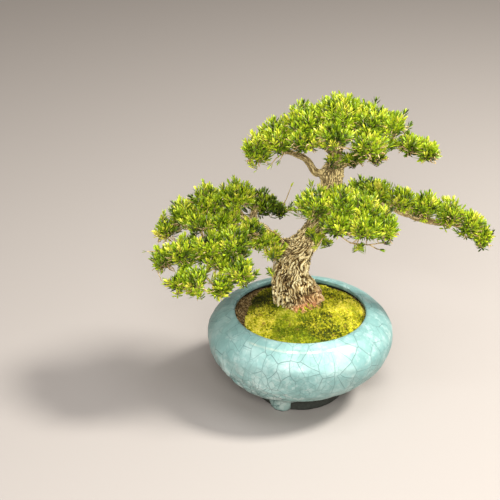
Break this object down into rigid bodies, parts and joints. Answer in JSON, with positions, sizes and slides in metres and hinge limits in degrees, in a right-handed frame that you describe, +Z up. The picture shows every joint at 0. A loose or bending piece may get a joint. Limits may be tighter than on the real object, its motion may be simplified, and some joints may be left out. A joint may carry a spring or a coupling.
{
  "type": "boxwood bonsai",
  "caption": "Small-leaved boxwood bonsai with layered foliage pads on a short furrowed trunk, in moss and soil in a round crackle-glazed pot on small feet.",
  "frame": {"origin": "on the surface that the pot stands on, under the middle of the whole plant's bounding box; the pot's axis is 25 mm to the -X side of it", "axes": "+Z up; -Y is the front of the tree, which the picture shows; +X to the viewer's right, towards the tip of the long cascading branch"},
  "size_m": [0.4088, 0.22, 0.3869],
  "materials": {
    "glaze": "gloss",
    "screen": "matte",
    "soil": "matte",
    "moss": "matte",
    "bark": "matte",
    "leaf": "satin"
  },
  "bodies": {
    "root": {"pot": "glaze", "drain_screen": "screen", "soil": "soil", "moss": "moss", "trunk_and_branches": "bark", "spray_apex_left": "leaf", "spray_apex_crown": "leaf", "spray_apex_right": "leaf", "spray_apex_back": "leaf", "spray_under_apex": "leaf", "spray_front_upper": "leaf", "spray_front_low": "leaf", "spray_cascade": "leaf", "spray_left_upper": "leaf", "spray_back_left": "leaf", "spray_left_lower": "leaf", "spray_left_front": "leaf", "spray_back_right": "leaf", "spray_trunk_shoots": "leaf"}
  },
  "joints": []
}
